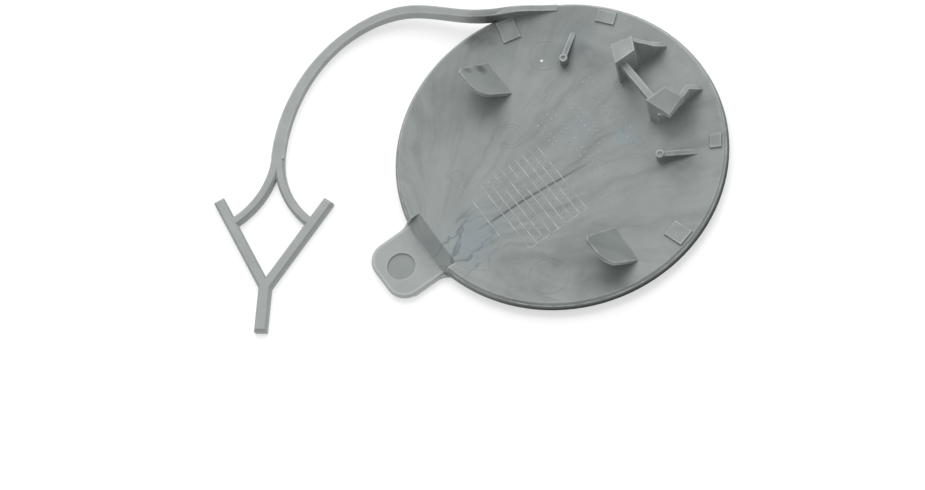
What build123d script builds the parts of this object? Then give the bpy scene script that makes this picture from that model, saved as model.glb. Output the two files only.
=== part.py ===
from build123d import *
from math import cos, radians, sin
import os

# Bumper tow hook cover, one plastic moulding, modelled as it lies on its outer face.
# Millimetres. The origin is on the disc's axis, in its flat outer face.
# +Z points out of the inner side, +X from the locating tab to the snap hooks,
# and +Y to the side on which the tether leaves the rim.

# Disc: flat in the middle, then two slopes that dish it towards its edge
disc_radius = 39.0
flat_radius = 22.0
wall = 2.4
crown_rise = 1.3
mid_radius = 30.0
mid_rise = 0.33
dish_bend = 20.0
lip_overhang = 0.8
lip_height = 0.8
bevel_width = 1.1
seat_depth = 0.8

# Locating tab, stepped down from the inner face
tab_overhang = 12.0
tab_width = 15.4
tab_bottom = 0.5
tab_thickness = 1.4
tab_corner = 4.8
tab_edge_bevel = 0.4
step_inset = 4.1
step_run = 3.6
neck_round = 4.0
neck_thickness = 1.0
tab_dimple_radius = 3.3
tab_dimple_inset = 5.6
tab_dimple_depth = 0.3

# Pair of snap hooks on the +X side, tied by a bridge and stayed by leaning webs
hook_inset = 17.7
hook_length = 5.5
hook_inner_y = 6.0
hook_thickness = 2.2
hook_top = 13.0
barb_reach = 5.6
barb_taper = 1.6
barb_drop = 2.0
barb_lip = 1.7
barb_undercut = 0.5
barb_near_skew = 2.4
barb_far_skew = 1.9
web_thickness = 1.4
web_setback = 0.4
web_lean = 2.4
web_swell = 0.9
web_rim_gap = 3.7
bridge_setback = 1.1
bridge_width = 1.7
bridge_height = 2.2
bridge_drop = 2.5

# Two guide flaps that lean towards the tab
flap_lean = 41.0
flap_length = 11.2
flap_root_width = 10.2
flap_taper = 1.6
flap_thickness = 0.9
flap_small_corner = 1.5
flap_large_corner = 4.4
flap_left_x = -1.3
flap_left_inset = 13.9
flap_right_x = -2.4
flap_right_inset = 10.9

# Two ribs that rise to a round post each: the post's angle, and the rib's heading and length
rib_post_inset = 15.6
rib_post_radius = 1.0
rib_post_bore = 0.5
rib_bore_depth = 0.2
rib_height = 2.8
rib_thickness = 1.3
rib_left = (52.7, 39.6, 7.9)
rib_right = (-41.8, -27.7, 8.6)

# Four spacer pads inside the rim: the angle, length and width of each
pad_rim_gap = 1.7
pad_height = 0.45
pads = ((75.8, 5.3, 4.3), (37.3, 3.0, 4.5), (-34.3, 2.7, 3.5), (-74.3, 4.9, 4.2))

# Tether: a low wall on the rim that turns into a flat ribbon; its route starts from its root
tether_root_angle = 56.0
tether_root_inset = 1.5
tether_leave = (-15.4, 8.9)
tether_turn = (-29.0, 22.5)
tether_crest = (-49.0, 26.1)
tether_shoulder = (-66.5, 18.1)
tether_root_width = 1.6
tether_crest_width = 2.2
tether_end_width = 3.1
tether_root_bottom = 2.6
tether_root_top = 6.3
tether_turn_bottom = 1.4
tether_turn_top = 4.2
tether_crest_lift = 0.3
tether_thickness = 1.9
tether_steps = 12

# Anchor at the tether's end, in the shape of an arrow with a foot bar
anchor_place = (-101.4, -23.9)
anchor_heading = 51.6
anchor_bevel = 0.5
foot_length = 12.0
foot_width = 3.0
leg_start = 11.0
leg_reach = 33.0
leg_spread = 13.25
leg_width = 2.7
leg_tail = 6.9
fork_start = 44.5
arm_width = 2.3

lip_z = crown_rise + lip_height
ridge_radius = disc_radius - bevel_width
ridge_z = wall + crown_rise
tab_reach = disc_radius + tab_overhang
tab_top = tab_bottom + tab_thickness
hook_x = disc_radius - hook_inset
barb_z = hook_top - barb_drop
root_x = (disc_radius - tether_root_inset) * cos(radians(tether_root_angle))
root_y = (disc_radius - tether_root_inset) * sin(radians(tether_root_angle))


def inner_face(radius):
    """Height of the disc's inner face at a distance from the axis."""
    inner_slope = mid_rise / (mid_radius - flat_radius)
    outer_slope = (crown_rise - mid_rise) / (ridge_radius - mid_radius)
    inner_run = max(min(radius, mid_radius) - flat_radius, 0)
    outer_run = max(min(radius, ridge_radius) - mid_radius, 0)
    return wall + inner_slope * inner_run + outer_slope * outer_run


def seat(radius):
    """Height inside the disc's wall from which a feature on it grows."""
    return inner_face(radius) - seat_depth


def disc():
    """Dished plate with a bevelled rim: flat in the middle, then two softly bent slopes."""
    corners = [
        (0, 0),
        (flat_radius, 0),
        (mid_radius, mid_rise),
        (disc_radius - lip_overhang, crown_rise),
        (disc_radius, lip_z),
        (ridge_radius, ridge_z),
        (mid_radius, wall + mid_rise),
        (flat_radius, wall),
        (0, wall),
    ]
    profile = Polygon(*corners, align=None)
    bends = profile.vertices().filter_by(lambda point: point.X in (flat_radius, mid_radius))
    return revolve(Plane.XZ * fillet(bends, dish_bend), Axis.Z)


def tab():
    """Rounded tongue that lies a step lower than the inner face, with its flared neck."""
    length = tab_reach - flat_radius
    outline = Pos(-flat_radius - length / 2, 0) * Rectangle(length, tab_width)
    outline = fillet(outline.vertices().sort_by(Axis.X)[:2], tab_corner)
    tongue = Pos(0, 0, tab_bottom) * extrude(outline, tab_thickness)
    broad_faces = tongue.faces().filter_by(Axis.Z)
    tongue = chamfer(broad_faces.edges(), tab_edge_bevel)
    joint = Circle(disc_radius - lip_overhang) + outline
    corners = joint.vertices().filter_by(lambda point: -disc_radius < point.X < -flat_radius)
    flare = Pos(0, 0, tab_bottom) * extrude(fillet(corners, neck_round), neck_thickness)
    flare -= Cylinder(disc_radius - 2 * lip_overhang, 4 * wall)
    flare &= Pos(-disc_radius, 0, 0) * Box(4 * neck_round, tab_width + 2 * neck_round, 4 * wall)
    dimple_place = Pos(tab_dimple_inset - tab_reach, 0, tab_top)
    return tongue + flare - dimple_place * Cylinder(tab_dimple_radius, 2 * tab_dimple_depth)


def tab_step():
    """Space above the tab: the sloping step down from the disc's inner face."""
    head = disc_radius - step_inset
    far = disc_radius + 1
    top = ridge_z + 1
    slope = [
        (-head, top),
        (-head, inner_face(head)),
        (-head - step_run, tab_top),
        (-far, tab_top),
        (-far, top),
    ]
    return extrude(Plane.XZ * Polygon(*slope, align=None), tab_width / 2, both=True)


def hook():
    """Snap hook on the +Y side: a leg whose head slopes out to an undercut barb."""
    outer_y = hook_inner_y + hook_thickness
    tip_y = hook_inner_y + barb_reach
    catch_z = barb_z - barb_lip
    low = seat(hook_x)
    profile = [
        (hook_inner_y, low),
        (outer_y, low),
        (outer_y, catch_z - barb_undercut),
        (tip_y, catch_z),
        (tip_y, barb_z),
        (hook_inner_y, hook_top),
    ]
    length = hook_length + barb_near_skew + barb_far_skew
    leg = Pos(hook_x, 0, 0) * extrude(Plane.YZ * Polygon(*profile, align=None), length)
    plan = [
        (hook_x, hook_inner_y),
        (hook_x + hook_length, hook_inner_y),
        (hook_x + hook_length + barb_far_skew, tip_y - barb_taper),
        (hook_x + barb_near_skew, tip_y),
    ]
    return leg & extrude(Polygon(*plan, align=None), 2 * hook_top)


def web_section(x, lean, top):
    """Upright cut through the web, with its foot on the disc and its top leaning outwards."""
    low = seat(hook_x)
    inner_y = hook_inner_y + web_setback
    outer_y = inner_y + web_thickness
    corners = [(inner_y, low), (outer_y, low), (outer_y + lean, top), (inner_y + lean, top)]
    return Plane.YZ.offset(x) * Polygon(*corners, align=None)


def web():
    """Thin web from the barb's far corner down to the rim, leaning outwards at the barb."""
    crest_x = hook_x + hook_length + barb_far_skew - web_setback
    end_x = disc_radius - web_rim_gap
    end_z = inner_face(end_x)
    sections = [
        web_section(crest_x - barb_far_skew, 0, barb_z - barb_drop),
        web_section(crest_x, web_lean, barb_z),
        web_section((crest_x + end_x) / 2, 0, (barb_z + end_z) / 2 + web_swell),
        web_section(end_x, 0, end_z),
    ]
    return loft(sections, ruled=True)


def bridge():
    """Bar that ties the two hooks, clear of the disc."""
    length = 2 * hook_inner_y + hook_thickness
    bar = Box(bridge_width, length, bridge_height, align=(Align.MIN, Align.CENTER, Align.MAX))
    return Pos(hook_x + bridge_setback, 0, hook_top - bridge_drop) * bar


def flap(x, middle_y):
    """Guide flap: a thin tongue that leans towards the tab, with one broadly rounded corner."""
    root_sink = wall
    half_root = flap_root_width / 2
    corners = [
        (-root_sink, -half_root),
        (0, -half_root),
        (flap_length, flap_taper - half_root),
        (flap_length, half_root),
        (-root_sink, half_root),
    ]
    outline = Polygon(*corners, align=None)
    small_tip = outline.vertices().sort_by_distance((flap_length, flap_taper - half_root))[0]
    outline = fillet(small_tip, flap_small_corner)
    large_tip = outline.vertices().sort_by_distance((flap_length, half_root))[0]
    outline = fillet(large_tip, flap_large_corner)
    blade = extrude(outline, flap_thickness)
    low = seat(abs(middle_y) + half_root)
    stand = Plane(
        origin=(x, middle_y, inner_face(abs(middle_y))),
        x_dir=(-sin(radians(flap_lean)), 0, cos(radians(flap_lean))),
        z_dir=(cos(radians(flap_lean)), 0, sin(radians(flap_lean))),
    )
    upwards = (Align.CENTER, Align.CENTER, Align.MIN)
    room = Box(4 * flap_length, 2 * flap_root_width, 2 * flap_length, align=upwards)
    return stand * blade & Pos(x, middle_y, low) * room


def post_rib(angle, heading, length):
    """Rib that rises from the disc to a small round post with a dimpled head."""
    post = Vector(disc_radius - rib_post_inset, 0).rotate(Axis.Z, angle)
    end = post + Vector(length, 0).rotate(Axis.Z, heading)
    low = seat(post.length)
    top = inner_face(post.length) + rib_height
    slope = [
        (0, low),
        (length, low),
        (length, inner_face(end.length)),
        (0, top - rib_bore_depth),
    ]
    rib = extrude(Plane.XZ * Polygon(*slope, align=None), rib_thickness / 2, both=True)
    stem = Cylinder(rib_post_radius, top - low, align=(Align.CENTER, Align.CENTER, Align.MIN))
    bore = Pos(0, 0, top) * Cylinder(rib_post_bore, 2 * rib_bore_depth)
    return Pos(post.X, post.Y, 0) * Rot(0, 0, heading) * (rib + Pos(0, 0, low) * stem - bore)


def pad(angle, length, width):
    """Low spacer pad inside the rim, whose top follows the inner face."""
    outer = disc_radius - pad_rim_gap
    inner = outer - length
    side = [
        (inner, seat(inner)),
        (outer, seat(inner)),
        (outer, inner_face(outer) + pad_height),
        (inner, inner_face(inner) + pad_height),
    ]
    return Rot(0, 0, angle) * extrude(Plane.XZ * Polygon(*side, align=None), width / 2, both=True)


def anchor_point(along, across):
    """Point of the anchor's own frame, in the part's frame."""
    place = Pos(root_x + anchor_place[0], root_y + anchor_place[1])
    point = place * Rot(0, 0, anchor_heading) * Pos(along, across)
    return point.position


def flat_bar(outline):
    """Bar of the anchor with bevelled top edges."""
    bar = extrude(outline, tether_thickness)
    return chamfer(bar.faces().sort_by(Axis.Z)[-1].edges(), anchor_bevel)


def anchor():
    """Flat anchor: a foot bar, two straight legs and two curved arms from the fork."""
    bars = flat_bar(Pos(foot_length / 2, 0) * Rectangle(foot_length, foot_width))
    fork_offset = (tether_end_width - arm_width) / 2
    for side in (1, -1):
        leg_line = Line((leg_start, 0), (leg_reach, side * leg_spread))
        joint = leg_line @ (1 - leg_tail / leg_line.length)
        fork = (fork_start, side * fork_offset)
        arm_line = TangentArc(fork, (joint.X, joint.Y), tangent=(-1, 0))
        bars += flat_bar(trace(leg_line, leg_width)) + flat_bar(trace(arm_line, arm_width))
    return Pos(anchor_point(0, 0)) * Rot(0, 0, anchor_heading) * bars


def tether():
    """Tether whose plan tapers from a thin wall on the rim to a wider flat ribbon."""
    fork = anchor_point(fork_start - 1, 0)
    heading = Vector(-1, 0).rotate(Axis.Z, anchor_heading)
    root = Vector(root_x, root_y)
    leave = root + Vector(*tether_leave)
    turn = root + Vector(*tether_turn)
    crest = root + Vector(*tether_crest)
    shoulder = root + Vector(*tether_shoulder)
    centre = Spline(root, leave, turn, crest, shoulder, fork, tangents=[(-root_y, root_x), heading])
    crest_share = centre.param_at_point(crest)
    left = []
    right = []
    for step in range(tether_steps + 1):
        share = step / tether_steps
        if share < crest_share:
            width = tether_root_width + (tether_crest_width - tether_root_width) * share / crest_share
        else:
            late = (share - crest_share) / (1 - crest_share)
            width = tether_crest_width + (tether_end_width - tether_crest_width) * late
        middle = centre @ share
        along = centre % share
        across = Vector(-along.Y, along.X) * width / 2
        left.append(middle + across)
        right.append(middle - across)
    sides = Spline(*left) + Spline(*right) + Line(left[0], right[0]) + Line(left[-1], right[-1])
    band = extrude(make_face(sides), 2 * tether_root_top)
    fall = [
        (root.X + 1, tether_root_bottom),
        (leave.X, tether_root_bottom),
        (turn.X, tether_turn_bottom),
        (crest.X, tether_crest_lift),
        (shoulder.X, 0),
        (fork.X - 1, 0),
    ]
    rise = [
        (root.X + 1, ridge_z),
        ((root.X + leave.X) / 2, tether_root_top),
        (leave.X, tether_root_top),
        (turn.X, tether_turn_top),
        (crest.X, tether_crest_lift + tether_thickness),
        (shoulder.X, tether_thickness),
        (fork.X - 1, tether_thickness),
    ]
    level = (-1, 0)
    low_line = Spline(*fall, tangents=[level, level])
    high_line = Spline(*rise, tangents=[level, level])
    slab_edges = [low_line, high_line, Line(fall[0], rise[0]), Line(fall[-1], rise[-1])]
    slab = extrude(Plane.XZ * make_face(Curve() + slab_edges), -2 * crest.Y)
    return band & slab


def cover():
    """The whole moulding as one solid."""
    body = disc() + tab() - tab_step()
    hooks = hook() + web()
    body += [hooks, mirror(hooks, Plane.XZ), bridge()]
    body += flap(flap_left_x, disc_radius - flap_left_inset)
    body += flap(flap_right_x, flap_right_inset - disc_radius)
    body += [post_rib(*rib_left), post_rib(*rib_right)]
    body += [pad(*sizes) for sizes in pads]
    body += [tether(), anchor()]
    return body


os.makedirs("parts", exist_ok=True)
moulding = cover()
export_step(moulding, "parts/cover.step")
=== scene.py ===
"""Dresses the moulded bumper tow hook cover and sets it on a white studio sheet."""

import logging
from dataclasses import dataclass
from enum import Enum
from math import cos, pi, radians, sin

import bmesh
import bpy
from mathutils import Matrix, Vector
from mathutils.bvhtree import BVHTree


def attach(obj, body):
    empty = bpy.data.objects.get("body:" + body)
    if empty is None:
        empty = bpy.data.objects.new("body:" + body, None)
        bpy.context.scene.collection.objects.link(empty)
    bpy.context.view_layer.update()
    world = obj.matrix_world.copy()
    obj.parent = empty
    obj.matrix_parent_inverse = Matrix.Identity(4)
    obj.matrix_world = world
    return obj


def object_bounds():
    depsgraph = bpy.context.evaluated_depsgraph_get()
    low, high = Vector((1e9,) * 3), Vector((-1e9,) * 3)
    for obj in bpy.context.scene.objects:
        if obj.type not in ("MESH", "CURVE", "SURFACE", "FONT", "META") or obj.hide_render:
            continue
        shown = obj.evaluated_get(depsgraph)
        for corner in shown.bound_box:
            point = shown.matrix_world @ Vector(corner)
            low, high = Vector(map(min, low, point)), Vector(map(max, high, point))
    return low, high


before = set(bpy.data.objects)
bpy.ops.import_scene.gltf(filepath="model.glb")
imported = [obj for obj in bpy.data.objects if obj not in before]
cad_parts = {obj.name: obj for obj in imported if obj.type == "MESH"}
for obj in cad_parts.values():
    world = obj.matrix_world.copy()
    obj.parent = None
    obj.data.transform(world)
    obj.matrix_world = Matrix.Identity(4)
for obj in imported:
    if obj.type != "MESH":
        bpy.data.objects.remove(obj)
CAD_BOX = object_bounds()

LOG = logging.getLogger("cover_scene")
MM = 0.001
BODY = "root"
NODE = "cover"


class Shading(Enum):
    """How the faces of a mesh catch the light."""

    FLAT = "flat"
    SMOOTH = "smooth"


def linear(hex_code: str) -> tuple[float, float, float, float]:
    """Turns an sRGB hex colour into the linear colour that shaders take.

    Args:
        hex_code: Colour as six hex digits after a hash.

    Returns:
        Linear red, green, blue and an alpha of one.
    """
    parts = [int(hex_code[i:i + 2], 16) / 255 for i in (1, 3, 5)]
    red, green, blue = [c / 12.92 if c <= 0.04045 else ((c + 0.055) / 1.055) ** 2.4 for c in parts]
    return red, green, blue, 1.0


def per_metre(size_mm: float) -> float:
    """Pattern repeats in a metre, from the real size of one repeat in millimetres."""
    return 1 / (size_mm * MM)


def add_node(tree: bpy.types.NodeTree, kind: str, sockets: dict | None = None, **settings) -> bpy.types.Node:
    """Adds one shader node with its settings, constants and links.

    Args:
        tree: Node tree that gets the node.
        kind: Blender's type name of the node.
        sockets: Input name or number, to a constant or to an output socket that is linked to it.
        **settings: Properties of the node.

    Returns:
        The new node.
    """
    node = tree.nodes.new(kind)
    for name, value in settings.items():
        setattr(node, name, value)
    for key, value in (sockets or {}).items():
        if isinstance(value, bpy.types.NodeSocket):
            tree.links.new(value, node.inputs[key])
        else:
            node.inputs[key].default_value = value
    return node


def new_material(name: str) -> tuple[bpy.types.Material, bpy.types.NodeTree]:
    """Makes an empty node material.

    Args:
        name: Name of the material.

    Returns:
        The material and its node tree.
    """
    material = bpy.data.materials.new(name)
    material.use_nodes = True
    material.node_tree.nodes.clear()
    return material, material.node_tree


def mesh_object(name: str, build: bmesh.types.BMesh, material: bpy.types.Material,
                shading: Shading) -> bpy.types.Object:
    """Turns a bmesh into a linked object with a material.

    Args:
        name: Name of the piece.
        build: Finished bmesh, which is freed.
        material: Material of all its faces.
        shading: Flat or smooth faces.

    Returns:
        The new object.
    """
    mesh = bpy.data.meshes.new(name)
    bmesh.ops.recalc_face_normals(build, faces=build.faces)
    for face in build.faces:
        face.smooth = shading is Shading.SMOOTH
    build.to_mesh(mesh)
    build.free()
    mesh.materials.append(material)
    piece = bpy.data.objects.new(name, mesh)
    bpy.context.scene.collection.objects.link(piece)
    return piece


def settle(piece: bpy.types.Object) -> bpy.types.Object:
    """Hangs a piece on the moulding's body, and reports it.

    Args:
        piece: Piece in its place.

    Returns:
        The same piece.
    """
    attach(piece, BODY)
    LOG.info("%s: %d faces", piece.name, len(piece.data.polygons))
    return piece


@dataclass(frozen=True)
class TintSpot:
    """Round patch of another tone, in millimetres of the part's frame: some are tones of the melt, some are
    painted shade or painted light.

    Its tone holds full over the inner share that hold gives, and z is set where it lies at one height.
    """

    x: float
    y: float
    radius: float
    strength: float
    tone: str = "#6f8492"
    hold: float = 0.0
    z: float | None = None


@dataclass(frozen=True)
class Ground:
    """Node tree of a material, with the places by which its patterns are laid out."""

    tree: bpy.types.NodeTree
    place: bpy.types.NodeSocket
    swept: bpy.types.NodeSocket


@dataclass(frozen=True)
class MouldedPolypropylene:
    """Talc-filled polypropylene, injection moulded and left unpainted.

    It gives the eye a satin mid grey with flow streaks that fan out from the gate at the tab, a few curls
    beside the gate, some bluish clouds, patches of painted shade and painted light, painted shade at the
    rim's foot, and paler edges that are painted highlights, partly worn by handling.
    """

    name: str = "moulded_polypropylene"
    base: str = "#767c7a"
    pale: str = "#888e8c"
    deep: str = "#5f6665"
    weld: str = "#3d4446"
    thin: str = "#9ea3a2"
    # Pale tone of the painted edge highlights.
    crest: str = "#b6bbba"
    # Pale tone of the painted highlight on the tab's rounded border.
    border_highlight: str = "#b4b9b8"
    # Tone of the painted shade at the rim's foot.
    foot_shade_tone: str = "#1e2223"
    index: float = 1.49
    roughness_low: float = 0.34
    roughness_high: float = 0.50
    gloss_mm: float = 7.0
    gloss_wave_mm: float = 0.25
    grain_mm: float = 0.5
    grain_depth_mm: float = 0.02
    edge_round_mm: float = 0.25
    cloud_mm: float = 17.0
    swirl_mm: float = 13.0
    swirl_shift_mm: float = 3.6
    gate: tuple[float, float] = (-38.0, -3.0)
    gate_calm_mm: tuple[float, float] = (4.0, 20.0)
    calm_least: float = 0.15
    fan_mm: float = 34.0
    streak_length_mm: float = 30.0
    streak_width_mm: float = 3.2
    dark_streaks: float = 0.6
    pale_streaks: float = 0.45
    curls: TintSpot = TintSpot(-30.5, -4.5, 13.0, 1.0)
    curl_mm: float = 6.0
    curl_lay: float = 12.0
    curl_stretch: tuple[float, float, float] = (0.45, 1.3, 1.0)
    curl_half: float = 0.05
    curl_share: float = 0.8
    weld_start: tuple[float, float] = (-26.0, -3.6)
    weld_end: tuple[float, float] = (3.2, -5.7)
    weld_half_mm: float = 0.2
    weld_share: float = 0.9
    weld_sway_mm: float = 0.2
    weld_wander_mm: float = 10.0
    thin_from_mm: tuple[float, float] = (39.2, 43.0)
    thin_share: float = 0.55
    tab_middle_x: float = -41.0
    tab_half: tuple[float, float] = (10.0, 7.7)
    tab_corner_mm: float = 4.8
    tab_border_mm: float = 1.3
    tab_border_share: float = 0.6
    neck_x: tuple[float, float] = (-38.0, -40.5)
    dimple: TintSpot = TintSpot(-45.4, 0.0, 3.45, 0.55, "#6a7270", 0.86)
    crest_share: float = 0.62
    crest_least: float = 0.3
    crest_reach_mm: float = 0.5
    wear_mm: float = 3.0
    rim_band_mm: tuple[float, float] = (38.35, 38.8)
    rim_end_mm: tuple[float, float] = (39.1, 39.2)
    rim_side_y: tuple[float, float] = (-4.0, -30.0)
    rim_least: float = 0.15
    tones_and_painted_light: tuple[TintSpot, ...] = (
        # Bluish clouds of the melt.
        TintSpot(-28.0, -4.5, 11.0, 0.36),
        TintSpot(6.5, 2.8, 6.5, 0.34),
        TintSpot(15.8, -5.6, 4.6, 0.42),
        TintSpot(19.0, 22.0, 7.0, 0.26),
        # Darker patches at the tab's step and on the +Y side.
        TintSpot(-37.0, 1.0, 6.0, 0.40, "#5d6568"),
        TintSpot(-18.0, 23.0, 6.0, 0.35, "#5f6a6a"),
        # Darker patches towards the lower left and the -Y side.
        TintSpot(-25.0, -21.0, 11.0, 0.70, "#4f5857"),
        TintSpot(-12.0, -23.0, 9.0, 0.75, "#4f5857"),
        TintSpot(-15.0, -29.5, 8.0, 0.60, "#525b5a"),
        # Painted shade beside the ribs and the hooks.
        TintSpot(20.0, -21.0, 6.5, 0.80, "#4f5857"),
        TintSpot(18.5, 13.5, 6.5, 0.75, "#4f5857"),
        TintSpot(20.0, -1.5, 6.5, 0.60, "#566060"),
        TintSpot(14.0, 22.5, 6.0, 0.40, "#5f6968"),
        # Painted light that lifts the hooks' shadows.
        TintSpot(22.0, -12.0, 6.5, 0.70, "#a8aead"),
        TintSpot(29.0, 18.0, 8.0, 0.50, "#a0a6a5"),
        # Dark scuffs near the top of the flap on the +Y side.
        TintSpot(-6.8, 28.6, 2.4, 0.8, "#3b4241", 0.2, 8.8),
        TintSpot(-3.4, 28.4, 2.6, 0.9, "#2f3635", 0.2, 5.0),
        # Painted shadow of the tether on the rim and plate beside it.
        TintSpot(3.6, 37.8, 6.5, 0.95, "#343b3a", 0.4, 3.6),
        # Painted shade beside the rib on the +Y side.
        TintSpot(18.2, 18.6, 4.6, 0.70, "#4a5352", 0.2),
        # Darker patches on the plate along the tether's side.
        TintSpot(-12.0, 30.0, 7.0, 0.45, "#566060"),
        TintSpot(2.0, 30.0, 8.0, 0.40, "#5f6968"),
        # Painted shade beside the rib and hook on the +Y side.
        TintSpot(17.0, 15.5, 8.0, 0.45, "#5a6463"),
        # Darker patch on the -Y side.
        TintSpot(6.0, -28.0, 10.0, 0.32, "#5f6866"),
        # Broad painted light over the hooks and the bar, lifting their shade.
        TintSpot(28.0, 1.0, 19.0, 0.60, "#a0a6a5"),
    )

    def build(self) -> bpy.types.Material:
        """Makes the material, with patterns laid out in the part's own frame."""
        material, tree = new_material(self.name)
        place = add_node(tree, "ShaderNodeTexCoord").outputs["Object"]
        ground = Ground(tree, place, self._swirl(tree, place))
        colour = self._clouds(ground)
        for step in (self._streaks, self._curls, self._spots, self._weld_line, self._thin_parts,
                     self._tab_border_highlight, self._dimple, self._crest_highlights, self._painted_rim_shade):
            colour = step(ground, colour)
        rough, bump = self._skin(ground)
        shader = add_node(tree, "ShaderNodeBsdfPrincipled", {
            "Base Color": colour, "Roughness": rough, "IOR": self.index, "Normal": bump})
        add_node(tree, "ShaderNodeOutputMaterial", {"Surface": shader.outputs[0]})
        return material

    def _swirl(self, tree: bpy.types.NodeTree, place: bpy.types.NodeSocket) -> bpy.types.NodeSocket:
        """Shifts the place by slow eddies, so that the patterns curl as the melt did.

        Args:
            tree: Node tree of the material.
            place: Place in the part's frame.

        Returns:
            The shifted place.
        """
        eddy = add_node(tree, "ShaderNodeTexNoise", {
            "Vector": place, "Scale": per_metre(self.swirl_mm), "Detail": 3.0, "Roughness": 0.5})
        centred = add_node(tree, "ShaderNodeVectorMath", {
            0: eddy.outputs["Color"], 1: (0.5, 0.5, 0.5)}, operation="SUBTRACT")
        shift = 2 * self.swirl_shift_mm * MM
        scaled = add_node(tree, "ShaderNodeVectorMath", {
            0: centred.outputs[0], 1: (shift, shift, 0.0)}, operation="MULTIPLY")
        moved = add_node(tree, "ShaderNodeVectorMath", {0: place, 1: scaled.outputs[0]}, operation="ADD")
        return moved.outputs[0]

    def _clouds(self, ground: Ground) -> bpy.types.NodeSocket:
        """Lays broad clouds between the pale and the middle grey.

        Args:
            ground: Tree and places.

        Returns:
            The first colour.
        """
        cloud = add_node(ground.tree, "ShaderNodeTexNoise", {
            "Vector": ground.swept, "Scale": per_metre(self.cloud_mm), "Detail": 5.0, "Roughness": 0.55})
        share = add_node(ground.tree, "ShaderNodeMapRange", {
            "Value": cloud.outputs[0], "From Min": 0.34, "From Max": 0.66, "To Min": 0.1, "To Max": 0.75})
        ramp = add_node(ground.tree, "ShaderNodeMix", {
            "Factor": share.outputs[0], 6: linear(self.base), 7: linear(self.pale)}, data_type="RGBA")
        return ramp.outputs[2]

    def _tint(self, ground: Ground, amount: bpy.types.NodeSocket, colour: bpy.types.NodeSocket,
              tone: str) -> bpy.types.NodeSocket:
        """Turns the colour towards a tone.

        Args:
            ground: Tree and places.
            amount: Share of the tone, from none to one.
            colour: Colour so far.
            tone: The tone as a hex colour.

        Returns:
            The new colour.
        """
        mixed = add_node(ground.tree, "ShaderNodeMix", {
            "Factor": amount, 6: colour, 7: linear(tone)}, data_type="RGBA")
        return mixed.outputs[2]

    def _streaks(self, ground: Ground, colour: bpy.types.NodeSocket) -> bpy.types.NodeSocket:
        """Lays soft light and dark streaks that fan out from the gate, calmer beside it.

        Args:
            ground: Tree and places.
            colour: Colour so far.

        Returns:
            The new colour.
        """
        tree = ground.tree
        away = add_node(tree, "ShaderNodeVectorMath", {
            0: ground.swept, 1: (self.gate[0] * MM, self.gate[1] * MM, 0.0)}, operation="SUBTRACT")
        reach = add_node(tree, "ShaderNodeVectorMath", {0: away.outputs[0]}, operation="LENGTH")
        split = add_node(tree, "ShaderNodeSeparateXYZ", {0: away.outputs[0]})
        turn = add_node(tree, "ShaderNodeMath", {
            0: split.outputs["Y"], 1: split.outputs["X"]}, operation="ARCTAN2")
        across = add_node(tree, "ShaderNodeMath", {
            0: turn.outputs[0], 1: self.fan_mm / self.streak_width_mm}, operation="MULTIPLY")
        along = add_node(tree, "ShaderNodeMath", {
            0: reach.outputs["Value"], 1: per_metre(self.streak_length_mm)}, operation="MULTIPLY")
        fan = add_node(tree, "ShaderNodeCombineXYZ", {0: along.outputs[0], 1: across.outputs[0], 2: 0.0})
        grain = add_node(tree, "ShaderNodeTexNoise", {
            "Vector": fan.outputs[0], "Scale": 1.0, "Detail": 5.0, "Roughness": 0.6})
        dark = add_node(tree, "ShaderNodeMapRange", {
            "Value": grain.outputs[0], "From Min": 0.5, "From Max": 0.72, "To Min": 0.0,
            "To Max": self.dark_streaks})
        light = add_node(tree, "ShaderNodeMapRange", {
            "Value": grain.outputs[0], "From Min": 0.5, "From Max": 0.3, "To Min": 0.0,
            "To Max": self.pale_streaks})
        darkened = self._tint(ground, dark.outputs[0], colour, self.deep)
        streaked = self._tint(ground, light.outputs[0], darkened, self.pale)
        calm = add_node(tree, "ShaderNodeMapRange", {
            "Value": reach.outputs["Value"], "From Min": self.gate_calm_mm[0] * MM,
            "From Max": self.gate_calm_mm[1] * MM, "To Min": self.calm_least, "To Max": 1.0})
        calmed = add_node(tree, "ShaderNodeMix", {
            "Factor": calm.outputs[0], 6: colour, 7: streaked}, data_type="RGBA")
        return calmed.outputs[2]

    def _curls(self, ground: Ground, colour: bpy.types.NodeSocket) -> bpy.types.NodeSocket:
        """Lays dark curled threads beside the gate, where the melt folded over itself.

        Args:
            ground: Tree and places.
            colour: Colour so far.

        Returns:
            The new colour.
        """
        tree = ground.tree
        lay = add_node(tree, "ShaderNodeMapping", {
            "Vector": ground.swept, "Rotation": (0.0, 0.0, radians(self.curl_lay)),
            "Scale": self.curl_stretch})
        fold = add_node(tree, "ShaderNodeTexNoise", {
            "Vector": lay.outputs[0], "Scale": per_metre(self.curl_mm), "Detail": 2.5, "Distortion": 1.1})
        offset = add_node(tree, "ShaderNodeMath", {0: fold.outputs[0], 1: 0.5}, operation="SUBTRACT")
        size = add_node(tree, "ShaderNodeMath", {0: offset.outputs[0]}, operation="ABSOLUTE")
        thread = add_node(tree, "ShaderNodeMapRange", {
            "Value": size.outputs[0], "From Min": 0.0, "From Max": self.curl_half,
            "To Min": self.curl_share, "To Max": 0.0})
        near = self._nearness(tree, ground.swept, self.curls)
        amount = add_node(tree, "ShaderNodeMath", {0: thread.outputs[0], 1: near}, operation="MULTIPLY")
        return self._tint(ground, amount.outputs[0], colour, self.weld)

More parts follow.
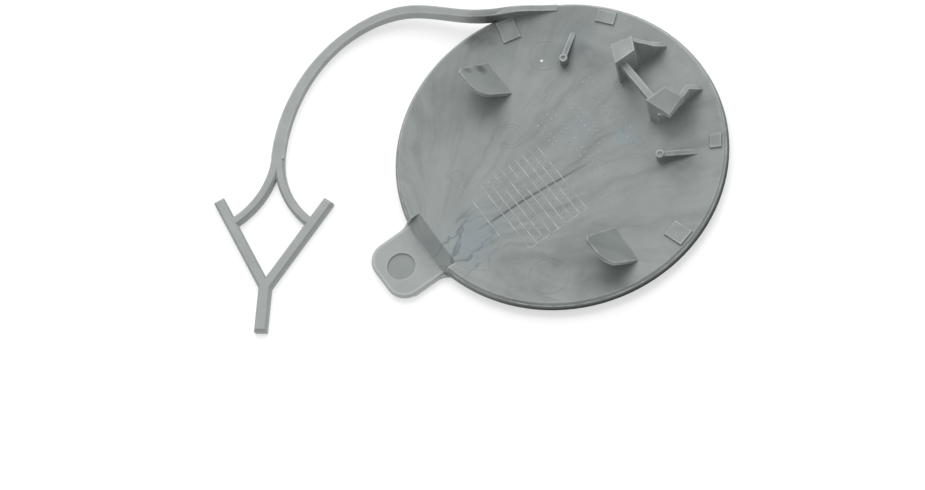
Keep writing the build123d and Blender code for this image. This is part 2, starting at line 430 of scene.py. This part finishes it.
    def _nearness(self, tree: bpy.types.NodeTree, place: bpy.types.NodeSocket,
                  spot: TintSpot) -> bpy.types.NodeSocket:
        """Finds a spot's share at a place: its strength in the middle, falling to nothing.

        Args:
            tree: Node tree of the material.
            place: Place in the part's frame.
            spot: The spot; without a height it reaches through the whole part.

        Returns:
            The share.
        """
        middle = (spot.x * MM, spot.y * MM, (spot.z or 0.0) * MM)
        away = add_node(tree, "ShaderNodeVectorMath", {0: place, 1: middle}, operation="SUBTRACT")
        kept = add_node(tree, "ShaderNodeVectorMath", {
            0: away.outputs[0], 1: (1.0, 1.0, 0.0 if spot.z is None else 1.0)}, operation="MULTIPLY")
        reach = add_node(tree, "ShaderNodeVectorMath", {0: kept.outputs[0]}, operation="LENGTH")
        share = add_node(tree, "ShaderNodeMapRange", {
            "Value": reach.outputs["Value"], "From Min": spot.radius * spot.hold * MM,
            "From Max": spot.radius * MM,
            "To Min": spot.strength, "To Max": 0.0}, interpolation_type="SMOOTHSTEP")
        return share.outputs[0]

    def _spots(self, ground: Ground, colour: bpy.types.NodeSocket) -> bpy.types.NodeSocket:
        """Lays bluish clouds, scuffs, darker patches, painted shade and painted light, broken up by a fine
        noise.

        Args:
            ground: Tree and places.
            colour: Colour so far.

        Returns:
            The new colour.
        """
        tree = ground.tree
        broken = add_node(tree, "ShaderNodeTexNoise", {
            "Vector": ground.swept, "Scale": per_metre(self.curl_mm), "Detail": 4.0, "Roughness": 0.6})
        patch = add_node(tree, "ShaderNodeMapRange", {
            "Value": broken.outputs[0], "From Min": 0.35, "From Max": 0.62, "To Min": 0.35, "To Max": 1.0})
        for spot in self.tones_and_painted_light:
            place = ground.swept if spot.z is None else ground.place
            amount = add_node(tree, "ShaderNodeMath", {
                0: self._nearness(tree, place, spot), 1: patch.outputs[0]}, operation="MULTIPLY")
            colour = self._tint(ground, amount.outputs[0], colour, spot.tone)
        return colour

    def _weld_line(self, ground: Ground, colour: bpy.types.NodeSocket) -> bpy.types.NodeSocket:
        """Draws the thin dark line along which two fronts of melt froze together.

        Args:
            ground: Tree and places.
            colour: Colour so far.

        Returns:
            The new colour.
        """
        tree = ground.tree
        start = Vector((*self.weld_start, 0.0)) * MM
        along = Vector((*self.weld_end, 0.0)) * MM - start
        way = along.normalized()
        side = Vector((-way.y, way.x, 0.0))
        wander = add_node(tree, "ShaderNodeTexNoise", {
            "Vector": ground.place, "Scale": per_metre(self.weld_wander_mm), "Detail": 1.0})
        sway = add_node(tree, "ShaderNodeMapRange", {
            "Value": wander.outputs[0], "From Min": 0.3, "From Max": 0.7,
            "To Min": -self.weld_sway_mm * MM, "To Max": self.weld_sway_mm * MM})
        local = add_node(tree, "ShaderNodeVectorMath", {0: ground.place, 1: start}, operation="SUBTRACT")
        run = add_node(tree, "ShaderNodeVectorMath", {0: local.outputs[0], 1: way}, operation="DOT_PRODUCT")
        off = add_node(tree, "ShaderNodeVectorMath", {0: local.outputs[0], 1: side}, operation="DOT_PRODUCT")
        bent = add_node(tree, "ShaderNodeMath", {
            0: off.outputs["Value"], 1: sway.outputs[0]}, operation="ADD")
        gap = add_node(tree, "ShaderNodeMath", {0: bent.outputs[0]}, operation="ABSOLUTE")
        core = add_node(tree, "ShaderNodeMapRange", {
            "Value": gap.outputs[0], "From Min": self.weld_half_mm * 0.6 * MM,
            "From Max": self.weld_half_mm * 2.2 * MM, "To Min": self.weld_share, "To Max": 0.0})
        middle = along.length / 2
        from_middle = add_node(tree, "ShaderNodeMath", {
            0: run.outputs["Value"], 1: middle}, operation="SUBTRACT")
        span = add_node(tree, "ShaderNodeMath", {0: from_middle.outputs[0]}, operation="ABSOLUTE")
        fade = add_node(tree, "ShaderNodeMapRange", {
            "Value": span.outputs[0], "From Min": middle * 0.55, "From Max": middle * 1.1,
            "To Min": 1.0, "To Max": 0.0})
        amount = add_node(tree, "ShaderNodeMath", {
            0: core.outputs[0], 1: fade.outputs[0]}, operation="MULTIPLY")
        return self._tint(ground, amount.outputs[0], colour, self.weld)

    def _from_axis(self, ground: Ground) -> bpy.types.NodeSocket:
        """Finds the distance from the disc's axis.

        Args:
            ground: Tree and places.

        Returns:
            The distance in metres.
        """
        flat = add_node(ground.tree, "ShaderNodeVectorMath", {
            0: ground.place, 1: (1.0, 1.0, 0.0)}, operation="MULTIPLY")
        reach = add_node(ground.tree, "ShaderNodeVectorMath", {0: flat.outputs[0]}, operation="LENGTH")
        return reach.outputs["Value"]

    def _thin_parts(self, ground: Ground, colour: bpy.types.NodeSocket) -> bpy.types.NodeSocket:
        """Makes the tab, the tether and the anchor paler: all that lies beyond the disc.

        Args:
            ground: Tree and places.
            colour: Colour so far.

        Returns:
            The new colour.
        """
        share = add_node(ground.tree, "ShaderNodeMapRange", {
            "Value": self._from_axis(ground), "From Min": self.thin_from_mm[0] * MM,
            "From Max": self.thin_from_mm[1] * MM, "To Min": 0.0, "To Max": self.thin_share})
        return self._tint(ground, share.outputs[0], colour, self.thin)

    def _tab_border_highlight(self, ground: Ground, colour: bpy.types.NodeSocket) -> bpy.types.NodeSocket:
        """Makes the tab's border paler: a painted highlight on its rounded edge.

        Args:
            ground: Tree and places.
            colour: Colour so far.

        Returns:
            The new colour.
        """
        tree = ground.tree
        corner = self.tab_corner_mm
        moved = add_node(tree, "ShaderNodeVectorMath", {
            0: ground.place, 1: (self.tab_middle_x * MM, 0.0, 0.0)}, operation="SUBTRACT")
        folded = add_node(tree, "ShaderNodeVectorMath", {0: moved.outputs[0]}, operation="ABSOLUTE")
        inset = ((self.tab_half[0] - corner) * MM, (self.tab_half[1] - corner) * MM, 0.0)
        past = add_node(tree, "ShaderNodeVectorMath", {0: folded.outputs[0], 1: inset}, operation="SUBTRACT")
        beyond = add_node(tree, "ShaderNodeVectorMath", {
            0: past.outputs[0], 1: (0.0, 0.0, 0.0)}, operation="MAXIMUM")
        level = add_node(tree, "ShaderNodeVectorMath", {
            0: beyond.outputs[0], 1: (1.0, 1.0, 0.0)}, operation="MULTIPLY")
        reach = add_node(tree, "ShaderNodeVectorMath", {0: level.outputs[0]}, operation="LENGTH")
        border_highlight = add_node(tree, "ShaderNodeMapRange", {
            "Value": reach.outputs["Value"], "From Min": (corner - self.tab_border_mm) * MM,
            "From Max": (corner - 0.3) * MM, "To Min": 0.0,
            "To Max": self.tab_border_share}, interpolation_type="SMOOTHSTEP")
        split = add_node(tree, "ShaderNodeSeparateXYZ", {0: ground.place})
        out = add_node(tree, "ShaderNodeMapRange", {
            "Value": split.outputs["X"], "From Min": self.neck_x[0] * MM,
            "From Max": self.neck_x[1] * MM, "To Min": 0.0, "To Max": 1.0})
        on_tab = add_node(tree, "ShaderNodeMapRange", {
            "Value": reach.outputs["Value"], "From Min": (corner + 0.2) * MM,
            "From Max": (corner + 0.4) * MM, "To Min": 1.0, "To Max": 0.0})
        near = add_node(tree, "ShaderNodeMath", {
            0: out.outputs[0], 1: on_tab.outputs[0]}, operation="MULTIPLY")
        amount = add_node(tree, "ShaderNodeMath", {
            0: border_highlight.outputs[0], 1: near.outputs[0]}, operation="MULTIPLY")
        return self._tint(ground, amount.outputs[0], colour, self.border_highlight)

    def _dimple(self, ground: Ground, colour: bpy.types.NodeSocket) -> bpy.types.NodeSocket:
        """Makes the floor of the tab's round dimple darker.

        Args:
            ground: Tree and places.
            colour: Colour so far.

        Returns:
            The new colour.
        """
        share = self._nearness(ground.tree, ground.place, self.dimple)
        return self._tint(ground, share, colour, self.dimple.tone)

    def _crest_highlights(self, ground: Ground, colour: bpy.types.NodeSocket) -> bpy.types.NodeSocket:
        """Makes the edges paler: a painted edge highlight, partly worn and uneven. From beneath an edge, the
        face beyond it is near.

        Args:
            ground: Tree and places.
            colour: Colour so far.

        Returns:
            The new colour.
        """
        tree = ground.tree
        wear = add_node(tree, "ShaderNodeTexNoise", {
            "Vector": ground.place, "Scale": per_metre(self.wear_mm), "Detail": 3.0})
        most = add_node(tree, "ShaderNodeMapRange", {
            "Value": wear.outputs[0], "From Min": 0.35, "From Max": 0.6,
            "To Min": self.crest_least * self.crest_share, "To Max": self.crest_share})
        inside = add_node(tree, "ShaderNodeAmbientOcclusion", {
            "Distance": self.crest_reach_mm * MM}, samples=8, inside=True, only_local=True)
        share = add_node(tree, "ShaderNodeMapRange", {
            "Value": inside.outputs["AO"], "From Min": 0.95, "From Max": 0.6,
            "To Min": 0.0, "To Max": most.outputs[0]})
        return self._tint(ground, share.outputs[0], colour, self.crest)

    def _painted_rim_shade(self, ground: Ground, colour: bpy.types.NodeSocket) -> bpy.types.NodeSocket:
        """Lays painted shade around the foot of the rim, on the side away from the tether.

        Args:
            ground: Tree and places.
            colour: Colour so far.

        Returns:
            The new colour.
        """
        tree = ground.tree
        reach = self._from_axis(ground)
        band = add_node(tree, "ShaderNodeMapRange", {
            "Value": reach, "From Min": self.rim_band_mm[0] * MM,
            "From Max": self.rim_band_mm[1] * MM, "To Min": 0.0, "To Max": 1.0})
        split = add_node(tree, "ShaderNodeSeparateXYZ", {0: ground.place})
        side = add_node(tree, "ShaderNodeMapRange", {
            "Value": split.outputs["Y"], "From Min": self.rim_side_y[0] * MM,
            "From Max": self.rim_side_y[1] * MM, "To Min": self.rim_least, "To Max": 1.0})
        disc = add_node(tree, "ShaderNodeMapRange", {
            "Value": reach, "From Min": self.rim_end_mm[0] * MM,
            "From Max": self.rim_end_mm[1] * MM, "To Min": 1.0, "To Max": 0.0})
        amount = add_node(tree, "ShaderNodeMath", {
            0: band.outputs[0], 1: side.outputs[0]}, operation="MULTIPLY")
        kept = add_node(tree, "ShaderNodeMath", {
            0: amount.outputs[0], 1: disc.outputs[0]}, operation="MULTIPLY")
        return self._tint(ground, kept.outputs[0], colour, self.foot_shade_tone)

    def _skin(self, ground: Ground) -> tuple[bpy.types.NodeSocket, bpy.types.NodeSocket]:
        """Gives an uneven satin gloss, rounded edges and the faint unevenness that the tool left.

        Args:
            ground: Tree and places.

        Returns:
            The roughness and the normal.
        """
        tree = ground.tree
        gloss = add_node(tree, "ShaderNodeTexNoise", {
            "Vector": ground.swept, "Scale": per_metre(self.gloss_mm), "Detail": 4.0, "Roughness": 0.6})
        rough = add_node(tree, "ShaderNodeMapRange", {
            "Value": gloss.outputs[0], "From Min": 0.35, "From Max": 0.65,
            "To Min": self.roughness_low, "To Max": self.roughness_high})
        rounded = add_node(tree, "ShaderNodeBevel", {"Radius": self.edge_round_mm * MM}, samples=6)
        wave = add_node(tree, "ShaderNodeBump", {
            "Strength": 0.35, "Distance": self.gloss_wave_mm * MM, "Height": gloss.outputs[0],
            "Normal": rounded.outputs[0]})
        fine = add_node(tree, "ShaderNodeTexNoise", {
            "Vector": ground.place, "Scale": per_metre(self.grain_mm), "Detail": 2.0})
        bump = add_node(tree, "ShaderNodeBump", {
            "Strength": 0.25, "Distance": self.grain_depth_mm * MM, "Height": fine.outputs[0],
            "Normal": wave.outputs[0]})
        return rough.outputs[0], bump.outputs[0]


@dataclass(frozen=True)
class WornAndHighlitPolypropylene:
    """The same plastic on crests, pale and a little glossier: partly worn by handling, partly a painted
    highlight along the raised lines and the rim's ridge.
    """

    name: str = "worn_and_highlit_polypropylene"
    colour: str = "#aab0ae"
    worn: str = "#878d8b"
    roughness: float = 0.38
    index: float = 1.49
    patch_mm: float = 2.5

    def build(self) -> bpy.types.Material:
        """Makes the material, unevenly worn along the crests."""
        material, tree = new_material(self.name)
        place = add_node(tree, "ShaderNodeTexCoord").outputs["Object"]
        wear = add_node(tree, "ShaderNodeTexNoise", {
            "Vector": place, "Scale": per_metre(self.patch_mm), "Detail": 3.0})
        share = add_node(tree, "ShaderNodeMapRange", {
            "Value": wear.outputs[0], "From Min": 0.38, "From Max": 0.62, "To Min": 0.0, "To Max": 1.0})
        tone = add_node(tree, "ShaderNodeMix", {
            "Factor": share.outputs[0], 6: linear(self.worn), 7: linear(self.colour)}, data_type="RGBA")
        shader = add_node(tree, "ShaderNodeBsdfPrincipled", {
            "Base Color": tone.outputs[2], "Roughness": self.roughness, "IOR": self.index})
        add_node(tree, "ShaderNodeOutputMaterial", {"Surface": shader.outputs[0]})
        return material


@dataclass(frozen=True)
class WhiteDustAndGlint:
    """Matt white: grains of mineral dust, and crumbs under a hook that stand in for a glint as a painted
    highlight; a small bright point on the grey.
    """

    name: str = "white_dust_and_glint"
    colour: str = "#f4f4f2"
    roughness: float = 0.8

    def build(self) -> bpy.types.Material:
        """Makes the material."""
        material, tree = new_material(self.name)
        shader = add_node(tree, "ShaderNodeBsdfPrincipled", {
            "Base Color": linear(self.colour), "Roughness": self.roughness})
        add_node(tree, "ShaderNodeOutputMaterial", {"Surface": shader.outputs[0]})
        return material


@dataclass(frozen=True)
class StudioSheet:
    """Matt white paper lit through from below: it gives the eye a clean white ground."""

    name: str = "backlit_paper"
    colour: str = "#c4c4c4"
    fibre: str = "#c8c8c8"
    fibre_mm: float = 3.0
    glow_colour: str = "#ffffff"
    roughness: float = 0.9
    glow: float = 0.49

    def build(self) -> bpy.types.Material:
        """Makes the paper's material with a faint fibre tone."""
        material, tree = new_material(self.name)
        place = add_node(tree, "ShaderNodeTexCoord").outputs["Object"]
        fibre = add_node(tree, "ShaderNodeTexNoise", {"Vector": place, "Scale": per_metre(self.fibre_mm)})
        tone = add_node(tree, "ShaderNodeMix", {
            "Factor": fibre.outputs[0], 6: linear(self.colour), 7: linear(self.fibre)}, data_type="RGBA")
        shader = add_node(tree, "ShaderNodeBsdfPrincipled", {
            "Base Color": tone.outputs[2], "Roughness": self.roughness, "Specular IOR Level": 0.1,
            "Emission Color": linear(self.glow_colour), "Emission Strength": self.glow})
        add_node(tree, "ShaderNodeOutputMaterial", {"Surface": shader.outputs[0]})
        return material


@dataclass
class MouldedCover:
    """The moulding itself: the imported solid, whose material rounds its edges as the tool did."""

    material: bpy.types.Material

    def dress(self) -> "InnerFace":
        """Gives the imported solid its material.

        Returns:
            The inner face, on which the fine marks lie.
        """
        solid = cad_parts[NODE]
        face = InnerFace(solid)
        solid.data.materials.clear()
        solid.data.materials.append(self.material)
        return face


class InnerFace:
    """Height of the moulding's upper faces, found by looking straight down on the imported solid."""

    def __init__(self, solid: bpy.types.Object) -> None:
        """Reads the solid's mesh.

        Args:
            solid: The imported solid, at its place.
        """
        self._tree = BVHTree.FromObject(solid, bpy.context.evaluated_depsgraph_get())
        self._into = solid.matrix_world.inverted()
        self._out = solid.matrix_world.copy()

    def drape(self, x_mm: float, y_mm: float, lift_mm: float) -> Vector:
        """Finds a point a little above the face.

        Args:
            x_mm: Place along X.
            y_mm: Place along Y.
            lift_mm: Height over the face.

        Returns:
            The point in metres.
        """
        above = self._into @ Vector((x_mm * MM, y_mm * MM, CAD_BOX[1][2] + 1 * MM))
        down = (self._into.to_3x3() @ Vector((0.0, 0.0, -1.0))).normalized()
        hit = self._tree.ray_cast(above, down)[0]
        point = self._out @ hit
        return point + Vector((0.0, 0.0, lift_mm * MM))


@dataclass
class RaisedMark:
    """Crest that the tool left on the inner face: a low bank with sloping sides."""

    face: InnerFace
    width: float = 0.3
    height: float = 0.045
    sink: float = 0.05
    dot_sides: int = 10
    dot_crown: float = 0.55

    def line(self, build: bmesh.types.BMesh, start: tuple[float, float], end: tuple[float, float],
             steps: int = 6) -> None:
        """Adds a straight bank.

        Args:
            build: Mesh that gets the bank.
            start: First end in millimetres.
            end: Last end in millimetres.
            steps: Stretches into which it is cut to follow the face.
        """
        first, last = Vector(start), Vector(end)
        self._bank(build, [first.lerp(last, i / steps) for i in range(steps + 1)], closed=False)

    def ring(self, build: bmesh.types.BMesh, centre: tuple[float, float], radius: float,
             steps: int = 40, gap: float = 0.0) -> None:
        """Adds a round bank.

        Args:
            build: Mesh that gets the bank.
            centre: Middle in millimetres.
            radius: Radius of the crest in millimetres.
            steps: Number of stretches.
            gap: Half of the angle left open about -X, in degrees; none makes a whole ring.
        """
        start = pi + radians(gap)
        sweep = 2 * (pi - radians(gap))
        count = steps + 1 if gap else steps
        middle = Vector(centre)
        turns = [start + sweep * i / steps for i in range(count)]
        points = [middle + Vector((cos(turn), sin(turn))) * radius for turn in turns]
        self._bank(build, points, closed=not gap)

    def dot(self, build: bmesh.types.BMesh, centre: tuple[float, float], radius: float) -> None:
        """Adds a low round dot.

        Args:
            build: Mesh that gets the dot.
            centre: Middle in millimetres.
            radius: Radius at its foot in millimetres.
        """
        sides = self.dot_sides
        rings = []
        for share, lift in ((1.0, -self.sink), (self.dot_crown, self.height)):
            ring = []
            for i in range(sides):
                turn = 2 * pi * i / sides
                x = centre[0] + radius * share * cos(turn)
                y = centre[1] + radius * share * sin(turn)
                ring.append(build.verts.new(self.face.drape(x, y, lift)))
            rings.append(ring)
        for i in range(sides):
            j = (i + 1) % sides
            build.faces.new((rings[0][i], rings[0][j], rings[1][j], rings[1][i]))
        build.faces.new(rings[1])
        build.faces.new(rings[0][::-1])

    def _bank(self, build: bmesh.types.BMesh, points: list[Vector], closed: bool) -> None:
        """Adds a bank along a chain of points.

        Args:
            build: Mesh that gets the bank.
            points: Middle of its crest, in millimetres.
            closed: Whether the last point joins the first.
        """
        count = len(points)
        rings = []
        for i, point in enumerate(points):
            before = points[i - 1] if closed or i > 0 else point
            after = points[(i + 1) % count] if closed or i < count - 1 else point
            way = (after - before).normalized()
            side = Vector((-way.y, way.x)) * self.width
            ring = []
            for across, lift in ((-0.5, -self.sink), (0.5, -self.sink),
                                 (0.25, self.height), (-0.25, self.height)):
                spot = point + side * across
                ring.append(build.verts.new(self.face.drape(spot.x, spot.y, lift)))
            rings.append(ring)
        last = count if closed else count - 1
        for i in range(last):
            here, there = rings[i], rings[(i + 1) % count]
            for a in range(4):
                b = (a + 1) % 4
                build.faces.new((here[a], here[b], there[b], there[a]))
        if not closed:
            build.faces.new(rings[0][::-1])
            build.faces.new(rings[-1])


@dataclass
class DateTable:
    """Table of a mould's run dates: raised lines with rows of plain dots, and nothing written."""

    face: InnerFace
    crest: bpy.types.Material
    plain: bpy.types.Material
    left: float = -19.4
    right: float = -3.3
    top: float = 5.2
    foot: float = -15.2
    columns: int = 8
    dot_rows: int = 14
    dot_radius: float = 0.24
    lone_line: tuple[float, float, float] = (-23.1, 8.0, -8.4)

    def build(self) -> None:
        """Builds the lines as one mesh and the dots as another."""
        build = bmesh.new()
        mark = RaisedMark(self.face)
        pitch = (self.right - self.left) / self.columns
        for column in range(self.columns + 1):
            x = self.left + pitch * column
            mark.line(build, (x, self.top), (x, self.foot))
        mark.line(build, (self.left, self.foot), (self.right, self.foot))
        lone_x, high, low = self.lone_line
        mark.line(build, (lone_x, high), (lone_x, low))
        settle(mesh_object("date_table", build, self.crest, Shading.FLAT))
        build = bmesh.new()
        for column in range(self.columns):
            for row in range(self.dot_rows):
                y = self.top - (self.top - self.foot) * (row + 0.5) / self.dot_rows
                mark.dot(build, (self.left + pitch * (column + 0.5), y), self.dot_radius)
        settle(mesh_object("date_dots", build, self.plain, Shading.SMOOTH))


@dataclass
class DotRow:
    """Run of plain raised dots in two lines."""

    x: float
    first_y: float
    last_y: float
    spread: float = 0.75
    pitch: float = 1.5


@dataclass
class DotRows:
    """Rows of plain raised dots beside the date table."""

    face: InnerFace
    material: bpy.types.Material
    rows: tuple[DotRow, ...] = (
        DotRow(0.4, 9.2, 3.2, 0.6, 1.3),
        DotRow(4.0, 10.2, -10.8),
        DotRow(9.3, 11.0, -6.4),
        DotRow(15.6, 11.9, -11.2, 1.0, 1.7),
    )
    dot_radius: float = 0.36

    def build(self) -> bpy.types.Object:
        """Builds all the rows as one mesh.

        Returns:
            The piece, settled on the moulding.
        """
        build = bmesh.new()
        mark = RaisedMark(self.face)
        for row in self.rows:
            count = round(abs(row.first_y - row.last_y) / row.pitch)
            for i in range(count + 1):
                y = row.first_y + (row.last_y - row.first_y) * i / count
                for side in (-1, 1):
                    mark.dot(build, (row.x + side * row.spread, y), self.dot_radius)
        return settle(mesh_object("dot_rows", build, self.material, Shading.FLAT))


@dataclass(frozen=True)
class PinRing:
    """Ring that an ejector pin or an insert left, in millimetres."""

    x: float
    y: float
    radius: float


@dataclass
class PinMarks:
    """Faint rings of the tool's pins and inserts, and a pale raised line on the rim: a painted highlight
    along the rim's ridge.
    """

    face: InnerFace
    plain: bpy.types.Material
    crest: bpy.types.Material
    rings: tuple[PinRing, ...] = (
        PinRing(11.7, 23.2, 3.7),
        PinRing(-19.8, -23.6, 4.6),
        PinRing(-6.6, 11.2, 3.1),
        PinRing(-6.6, 11.2, 2.3),
        PinRing(-22.4, 10.4, 1.6),
    )
    ring_width: float = 0.4
    ring_height: float = 0.035
    rim: PinRing = PinRing(0.0, 0.0, 38.35)
    rim_width: float = 0.3
    rim_height: float = 0.03
    rim_steps: int = 180
    rim_gap: float = 13.0

    def build(self) -> None:
        """Builds the rings as one mesh and the rim's crest as another."""
        build = bmesh.new()
        mark = RaisedMark(self.face, width=self.ring_width, height=self.ring_height)
        for ring in self.rings:
            mark.ring(build, (ring.x, ring.y), ring.radius)
        settle(mesh_object("pin_rings", build, self.plain, Shading.SMOOTH))
        build = bmesh.new()
        crest = RaisedMark(self.face, width=self.rim_width, height=self.rim_height)
        crest.ring(build, (self.rim.x, self.rim.y), self.rim.radius, self.rim_steps, self.rim_gap)
        settle(mesh_object("rim_ridge_highlight", build, self.crest, Shading.SMOOTH))


@dataclass
class Speck:
    """White grain of dust that lies on the inner face."""

    face: InnerFace
    material: bpy.types.Material
    x: float = 10.2
    y: float = 22.4
    radius: float = 0.42
    height: float = 0.18

    def build(self) -> None:
        """Builds the grain as a low dot."""
        build = bmesh.new()
        RaisedMark(self.face, height=self.height).dot(build, (self.x, self.y), self.radius)
        settle(mesh_object("dust_speck", build, self.material, Shading.SMOOTH))


@dataclass
class FlashCrumbs:
    """Torn flash under the barb of the hook on the -Y side, with two bright crumbs that are partly flash and
    partly a painted glint.
    """

    plain: bpy.types.Material
    bright: bpy.types.Material
    lumps: tuple[tuple[float, float, float, float], ...] = (
        (22.7, -8.7, 8.55, 0.45),
        (23.3, -9.2, 8.75, 0.40),
        (23.0, -8.5, 8.05, 0.34),
        (23.8, -8.7, 8.35, 0.36),
    )
    glint_crumbs: tuple[tuple[float, float, float, float], ...] = (
        (22.45, -8.95, 8.75, 0.22),
        (22.9, -9.3, 8.45, 0.18),
    )

    def build(self) -> None:
        """Builds the lumps as one mesh and the crumbs as another."""
        for name, balls, material in (("hook_flash", self.lumps, self.plain),
                                      ("flash_glint_crumbs", self.glint_crumbs, self.bright)):
            build = bmesh.new()
            for x, y, z, radius in balls:
                place = Matrix.Translation(Vector((x, y, z)) * MM)
                bmesh.ops.create_icosphere(build, subdivisions=1, radius=radius * MM, matrix=place)
            settle(mesh_object(name, build, material, Shading.FLAT))


@dataclass
class Studio:
    """White sheet, soft lights and the camera of the photograph."""

    sheet: bpy.types.Material
    camera_mm: tuple[float, float, float] = (-101.27, -290.17, 631.69)
    right: tuple[float, float, float] = (0.8148, -0.5567, -0.1618)
    up: tuple[float, float, float] = (0.5709, 0.7219, 0.3911)
    back: tuple[float, float, float] = (-0.1009, -0.4110, 0.9060)
    lens_mm: float = 117.53
    film_mm: float = 36.0
    sheet_m: float = 6.0
    sheet_drop_mm: float = 0.03
    key_from: tuple[float, float, float] = (0.34, 0.60, 0.74)
    key_strength: float = 2.2
    key_spread: float = 64.0
    fill_strength: float = 0.6

    def build(self) -> None:
        """Sets the floor, the lights, the world and the camera."""
        self._floor()
        self._lights()
        self._camera()
        bpy.context.scene.view_settings.view_transform = "Standard"

    def _floor(self) -> None:
        """Lays the sheet a hair under the part, so that their faces never meet."""
        build = bmesh.new()
        bmesh.ops.create_grid(build, x_segments=2, y_segments=2, size=self.sheet_m / 2)
        bmesh.ops.translate(build, verts=build.verts, vec=(0.0, 0.0, -self.sheet_drop_mm * MM))
        sheet = mesh_object("studio_sheet", build, self.sheet, Shading.FLAT)

    def _lights(self) -> None:
        """A high, wide key light from the tether's side and an even white world."""
        key = bpy.data.lights.new("key_softbox", "SUN")
        key.energy = self.key_strength
        key.angle = radians(self.key_spread)
        lamp = bpy.data.objects.new("key_softbox", key)
        lamp.rotation_euler = Vector(self.key_from).to_track_quat("Z", "Y").to_euler()
        bpy.context.scene.collection.objects.link(lamp)
        world = bpy.data.worlds.new("studio_world")
        world.use_nodes = True
        white = world.node_tree.nodes["Background"]
        white.inputs["Color"].default_value = linear("#ffffff")
        white.inputs["Strength"].default_value = self.fill_strength
        bpy.context.scene.world = world

    def _camera(self) -> None:
        """Places the camera with the photograph's roll and lens."""
        data = bpy.data.cameras.new("photo_camera")
        data.lens = self.lens_mm
        data.sensor_width = self.film_mm
        data.sensor_fit = "HORIZONTAL"
        data.clip_start = 0.01
        camera = bpy.data.objects.new("photo_camera", data)
        axes = Matrix((self.right, self.up, self.back)).transposed()
        camera.matrix_world = Matrix.Translation(Vector(self.camera_mm) * MM) @ axes.to_4x4()
        bpy.context.scene.collection.objects.link(camera)
        bpy.context.scene.camera = camera


def write_sizes() -> None:
    """Defines a helper that would turn a box into plain lists; no box is turned and nothing is written."""
    def plain(box: tuple) -> list[list[float]]:
        """Turns a box into lists."""
        return [[float(v) for v in corner] for corner in box]


def main() -> None:
    """Builds the studio, dresses the moulding and adds its fine marks."""
    logging.basicConfig(level=logging.INFO, format="%(name)s: %(message)s")
    plastic = MouldedPolypropylene().build()
    worn_and_highlit = WornAndHighlitPolypropylene().build()
    faint = WornAndHighlitPolypropylene("half_worn_and_highlit_polypropylene", "#959b99", "#7e8482").build()
    dust_and_glint = WhiteDustAndGlint().build()
    Studio(StudioSheet().build()).build()
    marks = MouldedPolypropylene("moulded_polypropylene_marks", crest_share=0.1, edge_round_mm=0.02).build()
    face = MouldedCover(plastic).dress()
    DateTable(face, worn_and_highlit, marks).build()
    DotRows(face, faint).build()
    PinMarks(face, marks, worn_and_highlit).build()
    Speck(face, dust_and_glint).build()
    FlashCrumbs(plastic, dust_and_glint).build()
    write_sizes()


if __name__ == "__main__":
    main()
